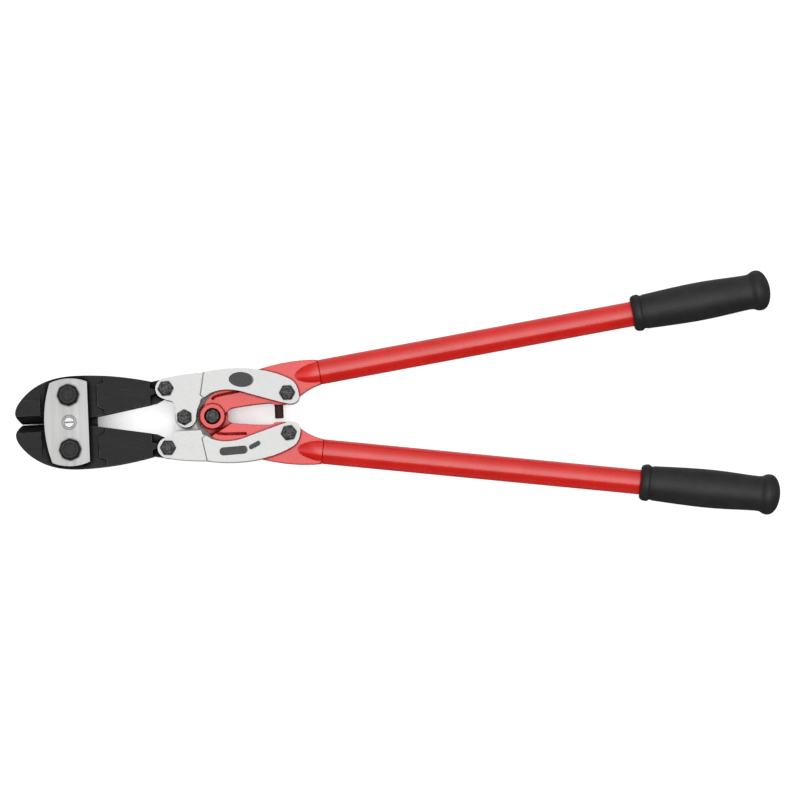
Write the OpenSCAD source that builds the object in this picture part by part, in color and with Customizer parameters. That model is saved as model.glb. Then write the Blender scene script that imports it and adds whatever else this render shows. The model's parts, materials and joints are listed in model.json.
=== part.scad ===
// Centre-cut bolt cutters with a double compound linkage, lying flat and almost closed.
// +X runs from the jaws to the grips, +Y is towards the upper handle, +Z is up.
// Each half is drawn for the upper side, with X = 0 on the jaw bolts and Z = 0 at mid thickness.
// The lower half is that shape turned half a turn about X.

/* [Jaws] */
// Gap between the closed blades
blade_gap = 0.7; // [0.6:0.1:1]
// Thickness of the jaw forgings
jaw_t = 19; // [18:0.5:20]
// Thickness of the jaws under the straps
jaw_seat_t = 16; // [15:0.5:16.5]
// Thickness of the jaw tails between the link plates
tang_t = 12; // [11:0.5:12]
// Thickness of each strap that ties the jaws together
strap_t = 5.9; // [5:0.1:6.5]
// Width of a jaw bolt's head across its flats
jaw_bolt_af = 20; // [19:0.2:21.6]
// Diameter of the jaw bolts
jaw_bolt_d = 15; // [12:0.5:16]
// Height of the jaw bolts' heads and nuts
jaw_head_h = 6.3; // [5:0.1:7]

/* [Links] */
// Thickness of the link plates
plate_t = 4.9; // [4:0.1:5]
// Diameter of the link bolts
link_bolt_d = 9.5; // [8:0.5:10]
// Width of a link bolt's head across its flats
link_bolt_af = 13.6; // [13:0.1:14]
// Height of the link bolts' heads and nuts
link_head_h = 5; // [4:0.5:5.5]

/* [Handles] */
// Outside diameter of the handle tubes
tube_d = 24.8; // [24:0.1:25]
// Wall of the handle tubes
tube_wall = 2; // [1.5:0.5:3]
// Angle between each handle and the centre line
handle_angle = 8.05; // [8:0.05:8.2]
// Distance along a handle from the hub to the end of its grip
handle_len = 568.3; // [540:0.1:600]
// Length of a grip
grip_len = 140.5; // [130:0.5:150]
// Greatest diameter of a grip, at the flare by its end
grip_flare_d = 40.6; // [40:0.1:40.6]
// Diameter of the stop bumper
bumper_d = 8.7; // [8:0.1:9]

/* [Fits] */
// Radial clearance of a bolt in a hole it turns in
turning_fit = 0.05; // [0.02:0.01:0.1]
// Clearance between faces that slide past each other
face_gap = 0.1; // [0.05:0.05:0.15]
// Extra radius of the lower link's hole round the toggle bolt
toggle_play = 1.9; // [1.9:0.1:2]
// Extra radius of the lower fork's hole round the hub bolt
hub_play = 3; // [3:0.1:3.2]

/* [Hidden] */
$fn = 64;

// Pivot centres of the upper half
jaw_pin = [0, 27.25];
front_pin = [97.2, 29.6];
toggle_pin = [114.75, 0];
hub_pin = [142.75, 0];
rear_pin = [218.25, 20.05];
handle_start = [142.75, 24.4];

// Heights above mid thickness
seat_z = jaw_seat_t / 2;
tang_z = tang_t / 2;
strap_z = seat_z + face_gap;
strap_top_z = strap_z + strap_t;
plate_z = tang_z + face_gap;
joggle = 1.4;
rear_z = plate_z + joggle;
arm_z = rear_z - face_gap;
lap_z = tang_z;
hub_boss_z = 11;
rest_z = strap_top_z + jaw_head_h;

// Places along a handle, from the hub
socket_s = 109.5;
grip_s = handle_len - grip_len;
tube_end_s = handle_len - 10;
tube_r = tube_d / 2;
bore_r = tube_r - tube_wall;
spigot_len = 40;

// Reach of shapes that only cut or trim
through = 20;
beyond = 120;

// Plan outlines
tip_x = -54;
jaw_lobe_r = 10;
front_lobe_r = 10.3;
toggle_lobe_r = 10.4;
pad_end_x = 81.5;
bevel_w = 8;
tongue_t = 7;
hub_ring_r = 12.3;
hub_disc_r = 15.5;
hub_sweep_r = 18.6;
counterbore_r = 8.1;
thread_d = 6;

// Centre screw and its spacer
spacer_d = 10;
spacer_hole_d = 5;
center_head_d = 9.6;
center_head_z = strap_top_z + 0.6;
center_sink = 0.8;

// Link plates: where the lobe's web ends, its underside, and the faces under the bolts
step_y = 13.5;
inner_lobe_z = 0.2;
front_seat = plate_z + plate_t;
rear_seat = rear_z + plate_t;
emblem_at = [172, 35.2];
emblem_depth = 0.6;

// Line where the lower fork steps up beside the hub: its distance and direction from the hub
step_d = 16.2;
step_dir = 58.9;

// Stop bumper and hub washer
bumper_x = 209.2;
bumper_top = 8.7;
bumper_reach = 13.3;
washer_r = 11.5;
washer_t = 1.5;

end_x = handle_start[0] + handle_len * cos(handle_angle);
mid_x = (tip_x + end_x) / 2;

// ---------------------------------------------------------------- curves and placing

// Cubic curve from a to d with control points b and c
function bezier(a, b, c, d, n = 8) =
    [for (i = [0:n]) let (t = i / n, u = 1 - t)
        u * u * u * a + 3 * u * u * t * b + 3 * u * t * t * c + t * t * t * d];

// Arc of radius r about c from angle a0 to a1
function arc(c, r, a0, a1, n = 8) =
    [for (i = [0:n]) let (a = a0 + (a1 - a0) * i / n) c + r * [cos(a), sin(a)]];

// Unit normal of a path at point i
function normal(p, i) =
    let (a = p[max(0, i - 1)], b = p[min(len(p) - 1, i + 1)], d = (b - a) / norm(b - a)) [-d[1], d[0]];

// Band of width w along a path
function band(p, w) =
    concat([for (i = [0:len(p) - 1]) p[i] + normal(p, i) * w / 2],
           [for (i = [len(p) - 1:-1:0]) p[i] - normal(p, i) * w / 2]);

module place() {
    translate([-mid_x, 0, rest_z]) children();
}

module lower_half() {
    rotate([180, 0, 0]) children();
}

module slab(z0, z1) {
    translate([0, 0, z0]) linear_extrude(z1 - z0) children();
}

module at(p) {
    translate([p[0], p[1], 0]) children();
}

// Vertical hole or shaft of radius r from z0 to z1
module rod(p, r, z0, z1) {
    translate([p[0], p[1], z0]) cylinder(r = r, h = z1 - z0);
}

// Runs the +Z axis of its child along the upper handle, from the hub
module along_handle(s = 0) {
    at(handle_start) rotate([0, 0, handle_angle]) rotate([0, 90, 0]) translate([0, 0, s]) children();
}

// ---------------------------------------------------------------- fasteners

// Prism with the given number of sides, chamfered at its top down to a round flat
module chamfered_head(af, h, sides, turn) {
    corner_r = af / 2 / cos(180 / sides);
    flat_r = af * 0.43;
    rim_r = corner_r + 0.2;
    chamfer = (rim_r - flat_r) * 0.85;
    intersection() {
        rotate([0, 0, turn]) cylinder(r = corner_r, h = h, $fn = sides);
        union() {
            cylinder(r = corner_r + 1, h = h - chamfer);
            translate([0, 0, h - chamfer]) cylinder(r1 = rim_r, r2 = flat_r, h = chamfer);
        }
    }
}

// Bolt from its head at z_head down to z_end
module bolt(p, af, shank_d, h, z_head, z_end, sides = 6, turn = 0) {
    dish_r = af * 0.31;
    dish = 0.4;
    translate([p[0], p[1], z_head]) difference() {
        chamfered_head(af, h, sides, turn);
        translate([0, 0, h - dish]) cylinder(r1 = dish_r - dish, r2 = dish_r + 0.1, h = dish + 0.1);
    }
    rod(p, shank_d / 2, z_end, z_head + 0.5);
}

// Nut under z_top, with its hole, hanging down
module nut(p, af, shank_d, h, z_top, sides = 6, turn = 0) {
    translate([p[0], p[1], z_top]) rotate([180, 0, 0]) difference() {
        chamfered_head(af, h, sides, turn);
        translate([0, 0, -1]) cylinder(r = shank_d / 2 + turning_fit, h = h + 2);
    }
}

// ---------------------------------------------------------------- head

module strap_outline() {
    side_r = 122.8;
    side_x = -25;
    end_r = 46.7;
    end_c = [0.6, -2.7];
    back_x = 19.3;
    half_w = 44;
    intersection() {
        translate([side_x + side_r, 0]) circle(r = side_r, $fn = 128);
        translate(end_c) circle(r = end_r, $fn = 96);
        translate([end_c[0], -end_c[1]]) circle(r = end_r, $fn = 96);
        translate([side_x, -half_w]) square([back_x - side_x, 2 * half_w]);
    }
}

module strap() {
    recess_r = 7.5;
    recess = 0.8;
    difference() {
        slab(strap_z, strap_top_z) strap_outline();
        for (side = [-1, 1])
            rod([jaw_pin[0], side * jaw_pin[1]], jaw_bolt_d / 2 + turning_fit, 0, rest_z);
        rod([0, 0], spacer_hole_d / 2 + turning_fit, 0, rest_z);
        rod([0, 0], recess_r, strap_top_z - recess, rest_z);
    }
}

module strap_top() {
    color("silver") place() strap();
}

module strap_bottom() {
    color("silver") place() lower_half() strap();
}

module jaw_bolt(side) {
    bolt([0, side * jaw_pin[1]], jaw_bolt_af, jaw_bolt_d, jaw_head_h, strap_top_z, 0.4 - rest_z, 8, 2);
}

module jaw_bolt_upper() {
    color("#33363a") place() jaw_bolt(1);
}

module jaw_bolt_lower() {
    color("#33363a") place() jaw_bolt(-1);
}

module jaw_nut(side) {
    nut([0, side * jaw_pin[1]], jaw_bolt_af, jaw_bolt_d, jaw_head_h, -strap_top_z, 8, 10);
}

module jaw_nut_upper() {
    color("#33363a") place() jaw_nut(1);
}

module jaw_nut_lower() {
    color("#33363a") place() jaw_nut(-1);
}

// Slotted screw that clamps the two straps on the spacer
module center_screw() {
    slot_w = 1.4;
    slot_depth = 1;
    sink_z = strap_top_z - center_sink;
    color("gainsboro") place() difference() {
        union() {
            rod([0, 0], center_head_d / 2, sink_z, center_head_z);
            rod([0, 0], spacer_hole_d / 2, -strap_top_z - 3.5, sink_z + 0.1);
        }
        translate([-center_head_d, -slot_w / 2, center_head_z - slot_depth])
            cube([2 * center_head_d, slot_w, slot_depth + 1]);
    }
}

module center_spacer() {
    color("dimgray") place() difference() {
        rod([0, 0], spacer_d / 2, -strap_z, strap_z);
        rod([0, 0], spacer_hole_d / 2 + turning_fit, -strap_z - 1, strap_z + 1);
    }
}

module center_nut() {
    nut_h = 4;
    color("gainsboro") place()
        nut([0, 0], center_head_d, spacer_hole_d, nut_h, center_sink - strap_top_z, 6, 0);
}

// ---------------------------------------------------------------- jaws

// Outline of the upper jaw: blade edge, tail round the front pin, back and nose
function jaw_outline() =
    let (edge = blade_gap / 2, apex = [-47.4, edge], heel = [27.3, edge + 4.6],
         tail = [87.2, edge + 15.1], back = [83, 37.3], crown = [8, 46.6], cheek = [-42, 30.2],
         nose = [tip_x, 11.5])
    concat([apex, [0, edge], heel, tail],
           arc(front_pin, jaw_lobe_r, -98, 105, 14),
           bezier(back, [58, 43.4], [33, 46.6], crown, 8),
           bezier(crown, [-12, 46.6], [-29, 42], cheek, 10),
           bezier(cheek, [-46.5, 26], [-53.8, 18], nose, 6),
           bezier(nose, [-54.2, 8.2], [-51.6, 3.6], apex, 6));

// Region of full thickness, with a nib between the link plates
module pad_region() {
    polygon([[-60, -1], [pad_end_x, -1], [pad_end_x, 23.5], [pad_end_x + 4.5, 25],
             [pad_end_x + 4.5, 29.5], [pad_end_x, 31], [pad_end_x, 60], [-60, 60]]);
}

// Recess in each face of the jaws, where a strap lies
module strap_recess() {
    front = -27.8;
    back = 28.5;
    step = 35.5;
    polygon([[front, -20], [front - 1, 12], [front, 60], [step, 60], [step, 38.5], [back, 36.5],
             [back, 15], [step, 11.5], [step, -20]]);
}

// Section of the cutting end: bevelled blade, flat, and a stepped flank that falls towards the back
module blade_section() {
    top = jaw_t / 2;
    flat_end = 24;
    flank_end = 47;
    step = 0.5;
    fall = 2;
    edge = blade_gap / 2;
    polygon([[edge, 0], [edge + bevel_w, top], [flat_end, top], [flat_end + step, top - step],
             [flank_end, top - fall], [flank_end, fall - top], [flat_end + step, step - top],
             [flat_end, -top], [edge + bevel_w, -top]]);
}

module jaw() {
    blade_end = 14;
    notch_r = spacer_d / 2 + 0.4;
    notch_travel = 3.4;
    relief = 2.2;
    difference() {
        union() {
            intersection() {
                slab(-tang_z, tang_z) polygon(jaw_outline());
                translate([blade_end, -1, -tang_z]) cube([beyond, beyond, tang_t]);
            }
            intersection() {
                slab(-jaw_t / 2, jaw_t / 2) polygon(jaw_outline());
                slab(-jaw_t, jaw_t) pad_region();
                union() {
                    translate([blade_end, -1, -jaw_t]) cube([beyond, beyond, 2 * jaw_t]);
                    translate([tip_x - 1, 0, 0]) rotate([90, 0, 90])
                        linear_extrude(blade_end + 1.5 - tip_x) blade_section();
                }
            }
        }
        for (face = [-1, 1])
            translate([0, 0, face * (seat_z + jaw_t / 2) - jaw_t / 2])
                linear_extrude(jaw_t) strap_recess();
        rod(jaw_pin, jaw_bolt_d / 2 + turning_fit, -jaw_t, jaw_t);
        rod(front_pin, link_bolt_d / 2 + turning_fit, -jaw_t, jaw_t);
        rod([0, 0], notch_r, -jaw_t, jaw_t);
        rod([notch_travel, 0.2], notch_r, -jaw_t, jaw_t);
        translate([0, -notch_r, -jaw_t]) cube([notch_travel, 2 * notch_r, 2 * jaw_t]);
        // Finger of relief behind the blade that ends each bevel
        translate([blade_end, -1, -jaw_t]) cube([relief, 3.4, 2 * jaw_t]);
    }
}

// Tongue of the upper jaw that crosses the gap behind the straps
module heel_tongue() {
    tongue_x = [15, 27.6];
    tongue_y = [-6, 8];
    slab(-tongue_t / 2, tongue_t / 2)
        translate([tongue_x[0], tongue_y[0]])
            square([tongue_x[1] - tongue_x[0], tongue_y[1] - tongue_y[0]]);
}

// Slot that the tongue swings into, open towards the upper jaw
module heel_slot() {
    slot_x = [9, 31];
    slot_y = [-14, 1];
    slab(-tongue_t / 2 - face_gap, tongue_t / 2 + face_gap)
        translate([slot_x[0], slot_y[0]]) square([slot_x[1] - slot_x[0], slot_y[1] - slot_y[0]]);
}

module jaw_upper() {
    color("#3a3d40") place() {
        jaw();
        heel_tongue();
    }
}

module jaw_lower() {
    color("#3a3d40") place() difference() {
        lower_half() jaw();
        heel_slot();
    }
}

// ---------------------------------------------------------------- link plates

// Front of a link plate, from the front pin to the joggle
module plate_front() {
    circle_at = [116.3, 0];
    translate(front_pin) circle(r = front_lobe_r);
    polygon(concat(
        [[93.5, 20], [98, 18]],
        bezier([101.5, 17.3], [105.4, 16.4], [106.6, 13], [106.2, 2], 6),
        [[126.4, 1], [127.9, 7.5], [130.7, 13.9], [132, 17.5], [134.5, 19.2], [137, 21.5],
         [138.5, 44.8]],
        bezier([134, 44], [122, 43.4], [110, 42.8], [95.8, 39.6], 6)));
    translate(circle_at) circle(r = 10.2);
}

// Rear of a link plate, from the joggle to the rear pin
module plate_rear() {
    end = [222, 33.5];
    tip = [230, 15];
    heel = [219, 9.1];
    polygon(concat(
        [[131, 21.5], [134.5, 19.2]],
        bezier([141, 22.8], [154, 28.2], [168, 25.8], [180, 21], 8),
        [[210.5, 11.3]],
        bezier(heel, [224, 8.2], [229.4, 10.5], tip, 5),
        bezier(tip, [230.2, 22], [228, 30], end, 5),
        bezier(end, [196, 48.4], [160, 48.9], [135.2, 44.2], 12)));
}

// Lobe round the toggle pin, on the inner level, with the web that joins it to its plate
module inner_lobe() {
    translate(toggle_pin) circle(r = toggle_lobe_r);
    polygon([[106.1, 2], [124.6, 3], [128.3, 13], [129, 17], [105, 17], [105.4, 13]]);
}

module link_plate(inner) {
    difference() {
        union() {
            if (inner) {
                intersection() {
                    slab(plate_z, plate_z + plate_t) plate_front();
                    translate([0, step_y, 0]) cube([2 * beyond, beyond, through]);
                }
                slab(inner_lobe_z, tang_z) inner_lobe();
                // Bend that joins the lobe to its plate
                slab(inner_lobe_z, plate_z + 0.5) intersection() {
                    inner_lobe();
                    translate([0, step_y]) square([2 * beyond, beyond]);
                }
            } else {
                slab(plate_z, plate_z + plate_t) plate_front();
            }
            slab(rear_z, rear_z + plate_t) plate_rear();
        }
        rod(front_pin, link_bolt_d / 2 + turning_fit, 0, through);
        rod(toggle_pin, link_bolt_d / 2 + (inner ? toggle_play : turning_fit), 0, through);
        rod(rear_pin, link_bolt_d / 2 + turning_fit, 0, through);
    }
}

// Plain oval recess on the upper link
module emblem_recess() {
    half_l = 12.5;
    half_w = 7.5;
    tilt = -6;
    slab(rear_z + plate_t - emblem_depth, rear_z + plate_t + 1) translate(emblem_at) rotate(tilt)
        polygon([for (a = [0:10:350]) [half_l * cos(a), half_w * sin(a)]]);
}

// Recess with round ends from a to b
module bar_recess(a, b, r, depth) {
    slab(rear_z + plate_t - depth, rear_z + plate_t + 1) {
        translate(a) circle(r = r);
        translate(b) circle(r = r);
        polygon(band([a, b], 2 * r));
    }
}

// Two plain bar recesses on the lower link, which follow its bend
module label_recess() {
    bar_recess([151.4, -35.8], [171.6, -34.9], 4.1, emblem_depth);
    bar_recess([179.2, -32.6], [186.6, -29], 2.4, emblem_depth / 2);
}

module link_upper_top() {
    color("gainsboro") place() difference() {
        link_plate(false);
        emblem_recess();
    }
}

module link_upper_bottom() {
    color("gainsboro") place() mirror([0, 0, 1]) link_plate(false);
}

module link_lower_top() {
    color("gainsboro") place() difference() {
        mirror([0, 1, 0]) link_plate(true);
        label_recess();
    }
}

module link_lower_bottom() {
    color("gainsboro") place() lower_half() link_plate(true);
}

module link_bolt(p, z_seat, turn) {
    bolt(p, link_bolt_af, link_bolt_d, link_head_h, z_seat, -z_seat - link_head_h - 1, 6, turn);
}

module link_nut(p, z_seat, turn) {
    nut(p, link_bolt_af, link_bolt_d, link_head_h, -z_seat, 6, turn);
}

function flip(p) = [p[0], -p[1]];

module front_bolt_upper() {
    color("#44474b") place() link_bolt(front_pin, front_seat, 3.5);
}

module front_nut_upper() {
    color("#44474b") place() link_nut(front_pin, front_seat, 12);
}

module rear_bolt_upper() {
    color("#44474b") place() link_bolt(rear_pin, rear_seat, 0);
}

module rear_nut_upper() {
    color("#44474b") place() link_nut(rear_pin, rear_seat, 20);
}

module toggle_bolt() {
    color("#44474b") place() link_bolt(toggle_pin, front_seat, 30);
}

module toggle_nut() {
    color("#44474b") place() link_nut(toggle_pin, front_seat, 8);
}

module front_bolt_lower() {
    color("#44474b") place() link_bolt(flip(front_pin), front_seat, -4);
}

module front_nut_lower() {
    color("#44474b") place() link_nut(flip(front_pin), front_seat, 16);
}

module rear_bolt_lower() {
    color("#44474b") place() link_bolt(flip(rear_pin), rear_seat, 6.5);
}

module rear_nut_lower() {
    color("#44474b") place() link_nut(flip(rear_pin), rear_seat, 25);
}

// ---------------------------------------------------------------- handles

// Inner edge of a fork's arm: slot, stop boss and the curve out to the socket
function arm_inner() = concat(
    bezier([154.5, 2.4], [158.6, 3], [158, 7.6], [166, 8.1], 6),
    [[183, 10], [197, 10.8], [203.2, 10.6], [204.6, 8.7], [214, 8.7]],
    bezier([218, 9.4], [229, 12.6], [234, 22.8], [252.9, 27.8], 10));

// Outer edge, from the socket back under the link plate to the hub
function arm_outer() = concat(
    bezier([249.5, 52], [233, 53], [213, 51.2], [191.5, 45.2], 6),
    bezier([176, 37.5], [160, 30.5], [146, 27], [137.5, 16.5], 6));

module socket() {
    // Ogive that meets the tube's radius at the seam and runs out inside the arm
    ogive_r = 67.6;
    start = socket_s - sqrt(2 * ogive_r * tube_r - tube_r * tube_r) + 0.4;
    n = 14;
    rotate_extrude()
        polygon(concat([[0, start]],
            [for (i = [1:n]) let (s = start + (socket_s - start) * i / n, d = socket_s - s)
                [tube_r - ogive_r + sqrt(ogive_r * ogive_r - d * d), s]],
            [[bore_r - turning_fit, socket_s], [bore_r - turning_fit, socket_s + spigot_len],
             [0, socket_s + spigot_len]]));
}

// Cone that rounds the flat arm off towards the tube
module arm_nose() {
    slope_s = 14;
    start_r = tube_r + 14;
    translate([0, 0, socket_s - slope_s]) cylinder(r1 = start_r, r2 = tube_r, h = slope_s);
    translate([0, 0, -beyond / 2]) cylinder(r = beyond / 2, h = socket_s - slope_s + beyond / 2);
}

module arm_groove(path) {
    groove_w = 2.4;
    groove_depth = 2;
    for (face = [-1, 1])
        translate([0, 0, face * (arm_z - groove_depth / 2) - groove_depth / 2 - 0.01])
            linear_extrude(groove_depth + 0.02) polygon(band(path, groove_w));
}

module fork_arm(groove) {
    difference() {
        intersection() {
            slab(-arm_z, arm_z) polygon(concat(arm_inner(), arm_outer(), [[132, 7]]));
            along_handle() arm_nose();
        }
        arm_groove(groove);
        rod(rear_pin, link_bolt_d / 2 + turning_fit, -through, through);
    }
    difference() {
        along_handle() socket();
        rod(rear_pin, link_bolt_d / 2 + turning_fit, -through, through);
    }
}

// Upper fork: its hub is the upper half of the lap, with a ring round the bolt's head
module upper_fork() {
    stud_z = 14;
    groove = bezier([143, 17], [146, 22], [158, 21], [173.5, 24.8], 8);
    difference() {
        union() {
            difference() {
                fork_arm(groove);
                rod(hub_pin, hub_sweep_r, -through, face_gap / 2);
                rod(hub_pin, hub_ring_r, -through, through);
            }
            rod(hub_pin, hub_ring_r, face_gap / 2, hub_boss_z);
        }
        rod(hub_pin, counterbore_r, lap_z, through);
        rod(hub_pin, link_bolt_d / 2 + turning_fit, -through, through);
        translate([bumper_x, bumper_top + stud_z, 0]) rotate([90, 0, 0])
            cylinder(d = thread_d + 2 * turning_fit, h = stud_z + 2);
    }
}

// Lower fork, drawn as the upper one turned over: its hub is the other half of the lap
module lower_fork() {
    groove = bezier([146.5, 16.6], [152, 18.8], [160, 18.2], [176, 18.6], 8);
    difference() {
        union() {
            difference() {
                fork_arm(groove);
                at(hub_pin) rotate([0, 0, step_dir])
                    translate([step_d - beyond, -beyond / 2, -through])
                        cube([beyond, beyond, through - face_gap / 2]);
                rod(hub_pin, hub_ring_r, -through, through);
            }
            rod(hub_pin, hub_disc_r, face_gap / 2, lap_z);
        }
        // Seat that the washer slides on
        rod(hub_pin, hub_disc_r, lap_z, through);
        rod(hub_pin, link_bolt_d / 2 + hub_play, -through, through);
    }
}

module fork_upper() {
    color("#e2453c") place() upper_fork();
}

module fork_lower() {
    color("#e2453c") place() lower_half() lower_fork();
}

module handle_tube() {
    along_handle() difference() {
        translate([0, 0, socket_s]) cylinder(r = tube_r, h = tube_end_s - socket_s);
        translate([0, 0, socket_s - 1]) cylinder(r = bore_r, h = tube_end_s - socket_s + 2);
    }
}

module tube_upper() {
    color("#c8201c") place() handle_tube();
}

module tube_lower() {
    color("#c8201c") place() lower_half() handle_tube();
}

// Outline of a grip, from its collar to its domed end: [radius, distance from the collar]
function grip_profile() =
    let (flare = grip_flare_d / 2, l = grip_len)
    concat([[tube_r + 0.05, 0], [15.5, 0.4]],
           bezier([17, 1.4], [18.2, 3], [18.6, 5.5], [18.4, 8], 5),
           [[16.75, 10.2], [16.75, 12]],
           bezier([17.3, 13.2], [17.6, 22], [19.4, 50], [19.2, 70], 8),
           bezier([19.2, 71], [19.1, 90], [17.6, 104], [17.45, 117.5], 8),
           bezier([17.8, 121], [19, 123.6], [flare, 124.6], [flare, 128.5], 6),
           bezier([flare - 0.05, 129.5], [19.8, 135.4], [12, l - 0.4], [0, l], 9));

module grip() {
    along_handle(grip_s) difference() {
        rotate_extrude() polygon(concat([[0, 0]], grip_profile()));
        translate([0, 0, -1]) cylinder(r = tube_r + turning_fit, h = tube_end_s - grip_s + 1.1);
    }
}

module grip_upper() {
    color("#26272b") place() grip();
}

module grip_lower() {
    color("#26272b") place() lower_half() grip();
}

// Rubber bumper on a stud, screwed into the upper arm
module stop_bumper() {
    stud_len = 12;
    color("#1e1a1a") place() translate([bumper_x, bumper_top, 0]) rotate([90, 0, 0]) {
        cylinder(d = bumper_d, h = bumper_reach);
        translate([0, 0, -stud_len]) cylinder(d = thread_d, h = stud_len + 1);
    }
}

module hub_bolt() {
    end_z = -lap_z - face_gap - washer_t - link_head_h - 1;
    color("#44474b") place()
        bolt(hub_pin, link_bolt_af, link_bolt_d, link_head_h, lap_z, end_z, 6, 30);
}

module hub_washer() {
    z = -lap_z - face_gap;
    color("#44474b") place() difference() {
        rod(hub_pin, washer_r, z - washer_t, z);
        rod(hub_pin, link_bolt_d / 2 + turning_fit, z - 5, z + 1);
    }
}

module hub_nut() {
    color("#44474b") place()
        nut(hub_pin, link_bolt_af, link_bolt_d, link_head_h, -lap_z - face_gap - washer_t, 6, 15);
}

strap_top();
strap_bottom();
jaw_bolt_upper();
jaw_bolt_lower();
jaw_nut_upper();
jaw_nut_lower();
center_screw();
center_spacer();
center_nut();
jaw_upper();
jaw_lower();
link_upper_top();
link_upper_bottom();
front_bolt_upper();
front_nut_upper();
rear_bolt_upper();
rear_nut_upper();
toggle_bolt();
toggle_nut();
link_lower_top();
link_lower_bottom();
front_bolt_lower();
front_nut_lower();
rear_bolt_lower();
rear_nut_lower();
fork_upper();
tube_upper();
grip_upper();
stop_bumper();
hub_bolt();
hub_washer();
hub_nut();
fork_lower();
tube_lower();
grip_lower();
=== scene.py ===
"""Looks of the compound bolt cutters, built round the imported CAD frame."""
import json
import math

import bmesh
import bpy
from mathutils import Matrix, Vector


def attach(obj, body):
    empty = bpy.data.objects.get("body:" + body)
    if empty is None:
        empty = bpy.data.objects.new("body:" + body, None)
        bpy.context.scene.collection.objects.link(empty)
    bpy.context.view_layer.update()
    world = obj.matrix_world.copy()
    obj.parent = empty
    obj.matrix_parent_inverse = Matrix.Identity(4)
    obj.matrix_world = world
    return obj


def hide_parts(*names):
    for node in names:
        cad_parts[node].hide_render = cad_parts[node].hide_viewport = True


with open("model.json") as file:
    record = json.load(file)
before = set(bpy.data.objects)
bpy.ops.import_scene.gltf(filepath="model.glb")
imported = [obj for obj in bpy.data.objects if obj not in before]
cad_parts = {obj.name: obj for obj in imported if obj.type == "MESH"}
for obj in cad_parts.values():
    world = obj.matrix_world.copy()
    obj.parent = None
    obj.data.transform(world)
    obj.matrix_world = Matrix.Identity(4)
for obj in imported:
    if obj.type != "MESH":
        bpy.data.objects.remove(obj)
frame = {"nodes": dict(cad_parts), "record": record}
NODES = frame["nodes"]
BODIES = frame["record"]["behaviour"]["bodies"]
BODY_OF = {node: body for body, nodes in BODIES.items() for node in nodes}
SLOT_OF = {row["node"]: row["material_slot"] for row in frame["record"]["subparts"]}
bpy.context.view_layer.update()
MM = 0.001


def rgb(r, g, b):
    return (r, g, b, 1.0)


# ---------------------------------------------------------------- camera, light, floor

VIEW_WIDTH = 0.800        # metres across the picture at the tool's mid thickness
LENS = 200.0
SENSOR = 36.0
ROLL = math.radians(2.55)
TILT = math.radians(3.3)  # how far the camera leans towards the lower handle
AIM = Vector((4.7 * MM, 8.4 * MM, 20.3 * MM))
VIEW_REACH = 20           # metres that the camera sees


def add_camera():
    distance = VIEW_WIDTH * LENS / SENSOR
    data = bpy.data.cameras.new("camera")
    data.lens = LENS
    data.sensor_width = SENSOR
    data.clip_end = VIEW_REACH
    camera = bpy.data.objects.new("camera", data)
    turn = Matrix.Rotation(-ROLL, 4, "Z") @ Matrix.Rotation(TILT, 4, "X")
    camera.matrix_world = Matrix.Translation(AIM) @ turn @ Matrix.Translation((0, 0, distance))
    bpy.context.scene.collection.objects.link(camera)
    bpy.context.scene.camera = camera


# Studio light by direction: angle from overhead towards +Y in degrees, and its share of the peak.
# A softbox overhead fades towards +Y, and the -Y side stays dark. Along X it ends within X_FADE.
SOFTBOX = [(-90, 0.02), (-45, 0.03), (-33, 0.09), (-26, 1.0), (4, 1.0), (12, 0.77), (26, 0.54),
           (42, 0.35), (60, 0.21), (90, 0.15)]
SOFTBOX_PEAK = 3.2
X_FADE = (0.16, 0.34)     # sine of the angle from overhead
X_DIM = 0.3               # share of the light left beyond that


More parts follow.
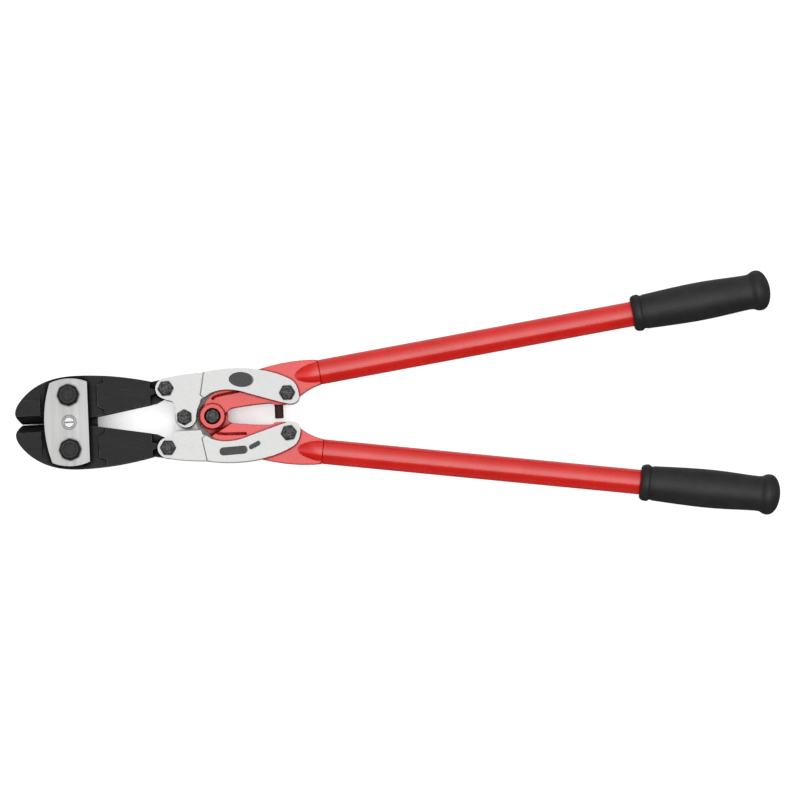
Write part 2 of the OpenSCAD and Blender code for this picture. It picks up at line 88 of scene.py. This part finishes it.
def add_world():
    """A softbox round the whole sky, as a smooth function of direction."""
    world = bpy.data.worlds.new("studio")
    world.use_nodes = True
    tree = world.node_tree
    add = tree.nodes.new
    link = tree.links.new
    axes = add("ShaderNodeSeparateXYZ")
    link(add("ShaderNodeTexCoord").outputs["Generated"], axes.inputs[0])
    angle = add("ShaderNodeMath")
    angle.operation = "ARCTAN2"
    link(axes.outputs["Y"], angle.inputs[0])
    link(axes.outputs["Z"], angle.inputs[1])
    place = add("ShaderNodeMapRange")
    place.inputs["From Min"].default_value = -math.pi / 2
    place.inputs["From Max"].default_value = math.pi / 2
    link(angle.outputs[0], place.inputs["Value"])
    ramp = add("ShaderNodeValToRGB")
    stops = ramp.color_ramp.elements
    while len(stops) < len(SOFTBOX):
        stops.new(0.5)
    for stop, (degrees, brightness) in zip(stops, SOFTBOX):
        stop.position = (degrees + 90) / 180
        stop.color = rgb(*[brightness] * 3)
    link(place.outputs[0], ramp.inputs[0])
    side = add("ShaderNodeMath")
    side.operation = "ABSOLUTE"
    link(axes.outputs["X"], side.inputs[0])
    fade = add("ShaderNodeMapRange")
    fade.interpolation_type = "SMOOTHSTEP"
    for name, value in zip(("From Min", "From Max", "To Min", "To Max"), (*X_FADE, 1.0, X_DIM)):
        fade.inputs[name].default_value = value
    link(side.outputs[0], fade.inputs["Value"])
    sky = add("ShaderNodeMix")
    sky.data_type = "RGBA"
    sky.blend_type = "MULTIPLY"
    sky.inputs[0].default_value = 1
    link(ramp.outputs[0], sky.inputs[6])
    link(fade.outputs[0], sky.inputs[7])
    light = tree.nodes["Background"]
    light.inputs["Strength"].default_value = SOFTBOX_PEAK
    link(sky.outputs[2], light.inputs["Color"])
    # The camera sees a plain white backdrop beyond the floor
    backdrop = add("ShaderNodeBackground")
    backdrop.inputs["Color"].default_value = rgb(1, 1, 1)
    choose = add("ShaderNodeMixShader")
    link(add("ShaderNodeLightPath").outputs["Is Camera Ray"], choose.inputs[0])
    link(light.outputs[0], choose.inputs[1])
    link(backdrop.outputs[0], choose.inputs[2])
    link(choose.outputs[0], tree.nodes["World Output"].inputs["Surface"])
    bpy.context.scene.world = world


# ---------------------------------------------------------------- material building

EDGE_SAMPLES = 6
CREVICE_SAMPLES = 8


class Paint:
    """A material under construction, with short ways to add the nodes it is made of."""

    def __init__(self, name):
        self.material = bpy.data.materials.new(name)
        self.material.use_nodes = True
        self.tree = self.material.node_tree
        self.shader = self.tree.nodes["Principled BSDF"]
        self.object = self.tree.nodes.new("ShaderNodeTexCoord").outputs["Object"]

    def set(self, **values):
        for name, value in values.items():
            self.shader.inputs[name.replace("_", " ")].default_value = value

    def node(self, kind, inputs=(), **settings):
        made = self.tree.nodes.new(kind)
        for key, value in settings.items():
            setattr(made, key, value)
        for key, value in dict(inputs).items():
            if isinstance(value, bpy.types.NodeSocket):
                self.tree.links.new(value, made.inputs[key])
            else:
                made.inputs[key].default_value = value
        return made

    def link(self, output, name):
        self.tree.links.new(output, self.shader.inputs[name])

    def stretched(self, scale, turn=0.0):
        """Object coordinates, turned about Z and then scaled, for streaks and brushing."""
        turned = self.node("ShaderNodeMapping", {"Vector": self.object, "Rotation": (0, 0, turn)})
        return self.node("ShaderNodeMapping", {"Vector": turned.outputs[0], "Scale": scale}).outputs[0]

    def noise(self, scale, detail=3.0, roughness=0.55, vector=None):
        made = self.node("ShaderNodeTexNoise", {
            "Vector": vector or self.object, "Scale": scale, "Detail": detail, "Roughness": roughness})
        return made.outputs["Fac"]

    def span(self, value, low, high, out_low=0.0, out_high=1.0):
        """Maps low..high to out_low..out_high, clamped."""
        made = self.node("ShaderNodeMapRange", {
            "Value": value, "From Min": low, "From Max": high, "To Min": out_low, "To Max": out_high})
        return made.outputs[0]

    def math(self, operation, a, b):
        return self.node("ShaderNodeMath", {0: a, 1: b}, operation=operation).outputs[0]

    def blend(self, share, a, b):
        made = self.node("ShaderNodeMix", {0: share, 6: a, 7: b}, data_type="RGBA")
        return made.outputs[2]

    def edges(self, radius, low, high):
        """1 on convex and concave edges within a radius, 0 on open faces."""
        soft = self.node("ShaderNodeBevel", {"Radius": radius}, samples=EDGE_SAMPLES)
        hard = self.node("ShaderNodeNewGeometry")
        dot = self.node("ShaderNodeVectorMath", {0: soft.outputs[0], 1: hard.outputs["Normal"]},
                        operation="DOT_PRODUCT")
        return self.span(self.math("SUBTRACT", 1.0, dot.outputs["Value"]), low, high)

    def crevice(self, reach, open_share=0.93, full_share=0.55):
        """1 in corners and gaps narrower than a reach, 0 on open faces."""
        seen = self.node("ShaderNodeAmbientOcclusion", {"Distance": reach}, samples=CREVICE_SAMPLES)
        return self.span(seen.outputs["AO"], open_share, full_share)

    def gap(self, reach):
        """1 at the bottom of deep, narrow gaps, 0 in the open and in shallow corners."""
        return self.crevice(reach, 0.5, 0.27)

    def bump(self, *layers):
        """Adds bump layers, each (height, distance in metres, strength)."""
        normal = None
        for height, distance, strength in layers:
            inputs = {"Height": height, "Distance": distance, "Strength": strength}
            if normal is not None:
                inputs["Normal"] = normal
            normal = self.node("ShaderNodeBump", inputs).outputs[0]
        self.link(normal, "Normal")


def jaw_steel():
    """Black oxide on a forging: fine grain, faint scale, and bare metal showing on the edges."""
    p = Paint("jaw_black_oxide")
    cloud = p.noise(55, 4)
    grain = p.noise(1600, 2)
    scuff = p.noise(1, 3, 0.6, p.stretched((90, 700, 90), math.radians(12)))
    base = p.blend(p.span(cloud, 0.35, 0.65), rgb(0.006, 0.006, 0.006), rgb(0.013, 0.013, 0.013))
    rubbed = p.blend(p.span(scuff, 0.56, 0.75, 0.0, 0.5), base, rgb(0.035, 0.035, 0.035))
    worn = p.math("MULTIPLY", p.edges(0.8 * MM, 0.01, 0.15), p.span(p.noise(130, 3), 0.36, 0.56))
    edged = p.blend(worn, rubbed, rgb(0.16, 0.16, 0.16))
    # Painted shade: the base colour goes near black and the specular drops in corners and in the channel
    # beside the strap, where shade falls
    painted_shade = p.crevice(7 * MM, 0.92, 0.6)
    p.link(p.blend(painted_shade, edged, rgb(0.001, 0.001, 0.001)), "Base Color")
    p.link(p.span(painted_shade, 0.0, 1.0, 0.25, 0.02), "Specular IOR Level")
    p.link(p.span(p.math("ADD", cloud, grain), 0.7, 1.3, 0.42, 0.6), "Roughness")
    p.bump((grain, 0.05 * MM, 0.5), (p.noise(260, 3), 0.12 * MM, 0.5))
    return p.material


def black_oxide(name, rubbed):
    """Turned and stamped fasteners, with a worn top and painted shade in their roots."""
    p = Paint(name)
    cloud = p.noise(420, 4, 0.7)
    worn = rgb(rubbed, rubbed, rubbed * 1.04)
    base = p.blend(p.span(cloud, 0.4, 0.62), rgb(0.012, 0.013, 0.014), worn)
    # Painted shade: the base colour goes near black in the roots and corners, where shade falls
    p.link(p.blend(p.crevice(1.6 * MM), base, rgb(0.002, 0.002, 0.002)), "Base Color")
    p.set(Metallic=0.35, Specular_IOR_Level=0.2)
    p.link(p.span(cloud, 0.3, 0.7, 0.3, 0.48), "Roughness")
    p.bump((p.noise(2200, 2), 0.03 * MM, 0.5), (cloud, 0.1 * MM, 0.5))
    return p.material


def strap_steel():
    """Steel brushed across the tool, with a clear grain along Y."""
    p = Paint("strap_brushed_steel")
    streak = p.noise(1, 4, 0.7, p.stretched((2600, 28, 2600)))
    band = p.noise(1, 2, 0.5, p.stretched((240, 6, 240)))
    tone = p.math("ADD", p.math("MULTIPLY", streak, 0.6), p.math("MULTIPLY", band, 0.4))
    base = p.blend(p.span(tone, 0.35, 0.65), rgb(0.275, 0.275, 0.273), rgb(0.405, 0.405, 0.40))
    # Painted shade: the base colour darkens in its corners and next to the parts standing on it, where
    # shade falls
    p.link(p.blend(p.crevice(2.5 * MM), base, rgb(0.03, 0.03, 0.03)), "Base Color")
    p.set(Metallic=0.75, Anisotropic=0.5)
    p.link(p.span(streak, 0.3, 0.7, 0.30, 0.46), "Roughness")
    p.bump((streak, 0.02 * MM, 0.5))
    return p.material


def link_steel():
    """Satin plated steel: smooth, pale, with faint mottling and tumbling marks."""
    p = Paint("link_satin_plating")
    cloud = p.noise(60, 3)
    fine = p.noise(1, 3, 0.6, p.stretched((1500, 300, 1500), math.radians(20)))
    base = p.blend(p.span(cloud, 0.35, 0.65), rgb(0.405, 0.405, 0.402), rgb(0.48, 0.48, 0.475))
    # Painted shade: the base colour goes dark in corners and at the bottom of deep narrow gaps, where shade
    # falls
    painted_shade = p.math("MAXIMUM", p.crevice(1.2 * MM), p.gap(16 * MM))
    p.link(p.blend(painted_shade, base, rgb(0.02, 0.015, 0.015)), "Base Color")
    p.set(Metallic=0.55)
    p.link(p.span(p.math("ADD", cloud, fine), 0.7, 1.3, 0.26, 0.42), "Roughness")
    p.bump((fine, 0.02 * MM, 0.35), (p.noise(140, 2), 0.08 * MM, 0.2))
    return p.material


def bright_zinc():
    """Polished zinc on the centre screw and its nut."""
    p = Paint("centre_screw_zinc")
    turning = p.noise(900, 2)
    base = p.blend(p.span(turning, 0.3, 0.7), rgb(0.26, 0.265, 0.27), rgb(0.36, 0.365, 0.37))
    # Painted shade: the base colour darkens in its slot and corners, where shade falls
    p.link(p.blend(p.crevice(1.2 * MM, 0.95, 0.6), base, rgb(0.02, 0.02, 0.02)), "Base Color")
    p.set(Metallic=0.9)
    p.link(p.span(turning, 0.3, 0.7, 0.12, 0.22), "Roughness")
    p.bump((turning, 0.02 * MM, 0.4))
    return p.material


def red_paint(name, red, shade_rim_width, orange_peel, forged):
    """Gloss red enamel over a forging's or a tube's surface, with painted shade darkening and dulling it in
    its corners, on its edges and in deep gaps.

    red is the base colour's red, shade_rim_width how far the painted shade on edges reaches in from an
    edge, orange_peel the scale of the enamel's own texture, and forged the strength of the waves in the
    metal under it.
    """
    p = Paint(name)
    cloud = p.noise(35, 3)
    base = p.blend(p.span(cloud, 0.3, 0.7), rgb(red - 0.05, 0.012, 0.008), rgb(red + 0.05, 0.018, 0.012))
    # Painted shade: the base colour turns deep red in creases, darker red on edges and near black at the
    # bottom of deep gaps, and the specular and coat drop with it
    painted_crease_shade = p.crevice(2.6 * MM, 0.93, 0.62)
    painted_rim_shade = p.edges(shade_rim_width, 0.02, 0.12)
    depth = p.gap(16 * MM)
    crease_shaded = p.blend(painted_crease_shade, base, rgb(0.45, 0.004, 0.003))
    rim_shaded = p.blend(p.math("MULTIPLY", painted_rim_shade, 0.9), crease_shaded, rgb(0.22, 0.003, 0.003))
    p.link(p.blend(depth, rim_shaded, rgb(0.02, 0.002, 0.002)), "Base Color")
    painted_shade_mask = p.math("MAXIMUM", p.math("MAXIMUM", painted_crease_shade, painted_rim_shade), depth)
    p.link(p.span(painted_shade_mask, 0.0, 1.0, 0.5, 0.0), "Specular IOR Level")
    p.link(p.span(painted_shade_mask, 0.0, 1.0, 0.35, 0.0), "Coat Weight")
    p.set(IOR=1.5, Coat_Roughness=0.08, Coat_IOR=1.5)
    p.link(p.span(p.noise(60, 2), 0.3, 0.7, 0.2, 0.3), "Roughness")
    p.bump((p.noise(orange_peel, 2), 0.02 * MM, 0.06), (p.noise(90, 3), 0.25 * MM, forged))
    return p.material


def grip_vinyl():
    """Satin moulded vinyl with a fine leathery texture."""
    p = Paint("grip_black_vinyl")
    pore = p.node("ShaderNodeTexVoronoi", {"Vector": p.object, "Scale": 900}).outputs["Distance"]
    cloud = p.noise(70, 3)
    base = p.blend(p.span(cloud, 0.3, 0.7), rgb(0.018, 0.018, 0.019), rgb(0.026, 0.026, 0.027))
    p.link(base, "Base Color")
    p.set(Specular_IOR_Level=0.32)
    p.link(p.span(p.noise(500, 3), 0.3, 0.7, 0.42, 0.55), "Roughness")
    p.bump((pore, 0.03 * MM, 0.4), (cloud, 0.1 * MM, 0.2))
    return p.material


def bumper_rubber():
    """Dull black rubber with a brown cast."""
    p = Paint("bumper_rubber")
    cloud = p.noise(300, 3)
    base = p.blend(p.span(cloud, 0.3, 0.7), rgb(0.025, 0.011, 0.008), rgb(0.05, 0.022, 0.018))
    p.link(base, "Base Color")
    p.set(Specular_IOR_Level=0.2)
    p.link(p.span(cloud, 0.3, 0.7, 0.5, 0.7), "Roughness")
    p.bump((p.noise(1500, 2), 0.04 * MM, 0.5))
    return p.material


def recess_fill():
    """Dark grey enamel wiped into the plates' recesses."""
    p = Paint("recess_grey_enamel")
    speck = p.noise(500, 3)
    base = p.blend(p.span(speck, 0.3, 0.7), rgb(0.045, 0.045, 0.045), rgb(0.09, 0.09, 0.09))
    p.link(base, "Base Color")
    p.set(Specular_IOR_Level=0.3)
    p.link(p.span(speck, 0.3, 0.7, 0.45, 0.6), "Roughness")
    p.bump((speck, 0.05 * MM, 0.5))
    return p.material


# ---------------------------------------------------------------- pieces

WELD = 0.002 * MM
FLAT_TURN = math.radians(0.4)
SHARP = math.radians(28)
ROOM_SHARE = 0.4                         # share of the room beside an edge that its rounding may take
SIDEWAYS = 0.8                           # cosine below which one edge leaves another sideways
LEVEL = 0.99                             # face normal's Z above which the face lies level
UPRIGHT = 0.3                            # and the size of that Z below which the face stands upright
SEGMENTS = 3                             # faces across a rounded edge
FACE_WEIGHT = 80                         # how much large faces set the shading next to a rounded edge
PLATE_TOPS = (32.7 * MM, 31.3 * MM)      # rear and front levels of the upper link plates
STEP_SLOPE = 1.1 * MM                    # how far the step between them leans back
RECESS = (0.2 * MM, 0.7 * MM)            # depths that the emblem and label recesses lie between
RECESS_FINISH = 1                        # place of their material in a plate's list
HUB_FACE = 20.35 * MM                    # height at which the two forks' faces meet
HUB_LIFT = 0.02 * MM                     # gap opened there, as the CAD leaves none and rounded edges graze


def clean_mesh(node):
    """A CAD node's shape as a bmesh, welded and with its flat faces made whole."""
    bm = bmesh.new()
    bm.from_mesh(NODES[node].data)
    bmesh.ops.remove_doubles(bm, verts=bm.verts, dist=WELD)
    bmesh.ops.dissolve_limit(bm, angle_limit=FLAT_TURN, verts=bm.verts, edges=bm.edges)
    return bm


def is_sharp(edge):
    return len(edge.link_faces) == 2 and edge.calc_face_angle(0) > SHARP


def room_beside(edge):
    """How far an edge can be rounded: its faces' reach, or sharp edges that leave it sideways."""
    start, along = edge.verts[0].co, (edge.verts[1].co - edge.verts[0].co).normalized()
    room = min(max((v.co - start).cross(along).length for v in face.verts) for face in edge.link_faces)
    for vert in edge.verts:
        for other in vert.link_edges:
            side = other.other_vert(vert).co - vert.co
            if other is not edge and is_sharp(other) and abs(side.normalized().dot(along)) < SIDEWAYS:
                room = min(room, side.length)
    return room


def set_edge_widths(bm, width):
    """Gives each sharp outer edge its share of the rounding, and keeps the inner ones hard."""
    share = bm.edges.layers.float.new("bevel_weight_edge")
    for edge in bm.edges:
        if is_sharp(edge):
            if edge.is_convex:
                edge[share] = min(1.0, ROOM_SHARE * room_beside(edge) / width)
            else:
                edge.smooth = False


def slope_step(bm):
    """Leans the step between a link plate's two levels back, as a pressed joggle does."""
    high, low = PLATE_TOPS
    wall = [f for f in bm.faces if abs(f.normal.z) < UPRIGHT and all(
        low - WELD < v.co.z < high + WELD for v in f.verts)]
    for v in {v for f in wall for v in f.verts if abs(v.co.z - high) < WELD}:
        v.co.x += STEP_SLOPE


def fill_recesses(bm):
    """Marks the floors of the recesses in a link plate's top for the second material."""
    high = PLATE_TOPS[0]
    for face in bm.faces:
        depth = high - face.calc_center_median().z
        if face.normal.z > LEVEL and RECESS[0] < depth < RECESS[1]:
            face.material_index = RECESS_FINISH


def lift_hub(bm):
    """Lifts the upper fork's hub face off the lower fork."""
    for v in bm.verts:
        if abs(v.co.z - HUB_FACE) < WELD:
            v.co.z += HUB_LIFT


def add_rounded(node, width, finishes):
    """Stands a copy with rounded edges in a CAD node's place, in the finishes of its faces and recesses."""
    bm = clean_mesh(node)
    if len(finishes) > 1:
        slope_step(bm)
        fill_recesses(bm)
    if node == "fork_upper":
        lift_hub(bm)
    set_edge_widths(bm, width)
    for face in bm.faces:
        face.smooth = True
    mesh = bpy.data.meshes.new(node + "_skin")
    bm.to_mesh(mesh)
    bm.free()
    for finish in finishes:
        mesh.materials.append(finish)
    piece = bpy.data.objects.new(node + "_skin", mesh)
    bpy.context.scene.collection.objects.link(piece)
    bevel = piece.modifiers.new("round", "BEVEL")
    bevel.width = width
    bevel.segments = SEGMENTS
    bevel.limit_method = "WEIGHT"
    bevel.use_clamp_overlap = True
    bevel.miter_outer = "MITER_ARC"
    normals = piece.modifiers.new("normals", "WEIGHTED_NORMAL")
    normals.weight = FACE_WEIGHT
    normals.keep_sharp = True
    evaluated = piece.evaluated_get(bpy.context.evaluated_depsgraph_get())
    mesh = bpy.data.meshes.new_from_object(evaluated)
    piece.modifiers.clear()
    piece.data = mesh
    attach(piece, BODY_OF[node])
    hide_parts(node)


FILLED = ("link_upper_top", "link_lower_top")
satin_link = link_steel()
FINISHES = {
    "jaw_steel": (jaw_steel(),),
    "black_oxide": (black_oxide("link_bolt_black_oxide", 0.11),),
    "strap_steel": (strap_steel(),),
    "link_steel": (satin_link,),
    "zinc": (bright_zinc(),),
    "red_forging": (red_paint("fork_red_enamel", 0.82, 1.3 * MM, 700, 0.06),),
    "red_tube": (red_paint("tube_red_enamel", 0.76, 0.3 * MM, 500, 0.02),),
    "grip_vinyl": (grip_vinyl(),),
    "bumper_rubber": (bumper_rubber(),),
}
RECESSED = (satin_link, recess_fill())
JAW_FASTENER = (black_oxide("jaw_bolt_black_oxide", 0.035),)
ROUNDING = {              # millimetres
    "jaw_steel": 0.8, "black_oxide": 0.45, "strap_steel": 0.9, "link_steel": 0.8, "zinc": 0.3,
    "red_forging": 1.0, "red_tube": 1.0, "grip_vinyl": 0.5, "bumper_rubber": 0.6,
}

for node, slot_name in SLOT_OF.items():
    finishes = FINISHES[slot_name]
    if node in FILLED:
        finishes = RECESSED
    elif node.startswith(("jaw_bolt", "jaw_nut")):
        finishes = JAW_FASTENER
    add_rounded(node, ROUNDING[slot_name] * MM, finishes)


FLOOR_HALF = 4.0          # metres
# The glow keeps the floor evenly white; where it fades, in narrow gaps and round the tool, it paints shadow
GLOW = 0.8
GLOW_FADE = (0.6, 0.88)   # how closed in the floor is where its glow starts to fade, and where it is gone
GLOW_REACH = 40 * MM


def add_floor():
    p = Paint("pale_floor")
    speck = p.noise(30, 3)
    base = p.blend(p.span(speck, 0.3, 0.7), rgb(0.54, 0.54, 0.54), rgb(0.56, 0.56, 0.56))
    p.link(base, "Base Color")
    p.set(Roughness=0.9, Emission_Color=rgb(1, 1, 1))
    # The floor's own glow, which keeps it evenly white and dies out in narrow gaps and under the tool as
    # painted shadow
    closed_in = p.crevice(GLOW_REACH, 1.0, 0.0)
    p.link(p.span(closed_in, *GLOW_FADE, GLOW, 0.0), "Emission Strength")
    mesh = bpy.data.meshes.new("floor")
    corners = [(x * FLOOR_HALF, y * FLOOR_HALF, 0) for x, y in ((-1, -1), (1, -1), (1, 1), (-1, 1))]
    mesh.from_pydata(corners, [], [(0, 1, 2, 3)])
    mesh.materials.append(p.material)
    floor = bpy.data.objects.new("floor", mesh)
    bpy.context.scene.collection.objects.link(floor)
    floor.visible_glossy = False


add_camera()
add_world()
add_floor()
bpy.context.scene.view_settings.view_transform = "Standard"
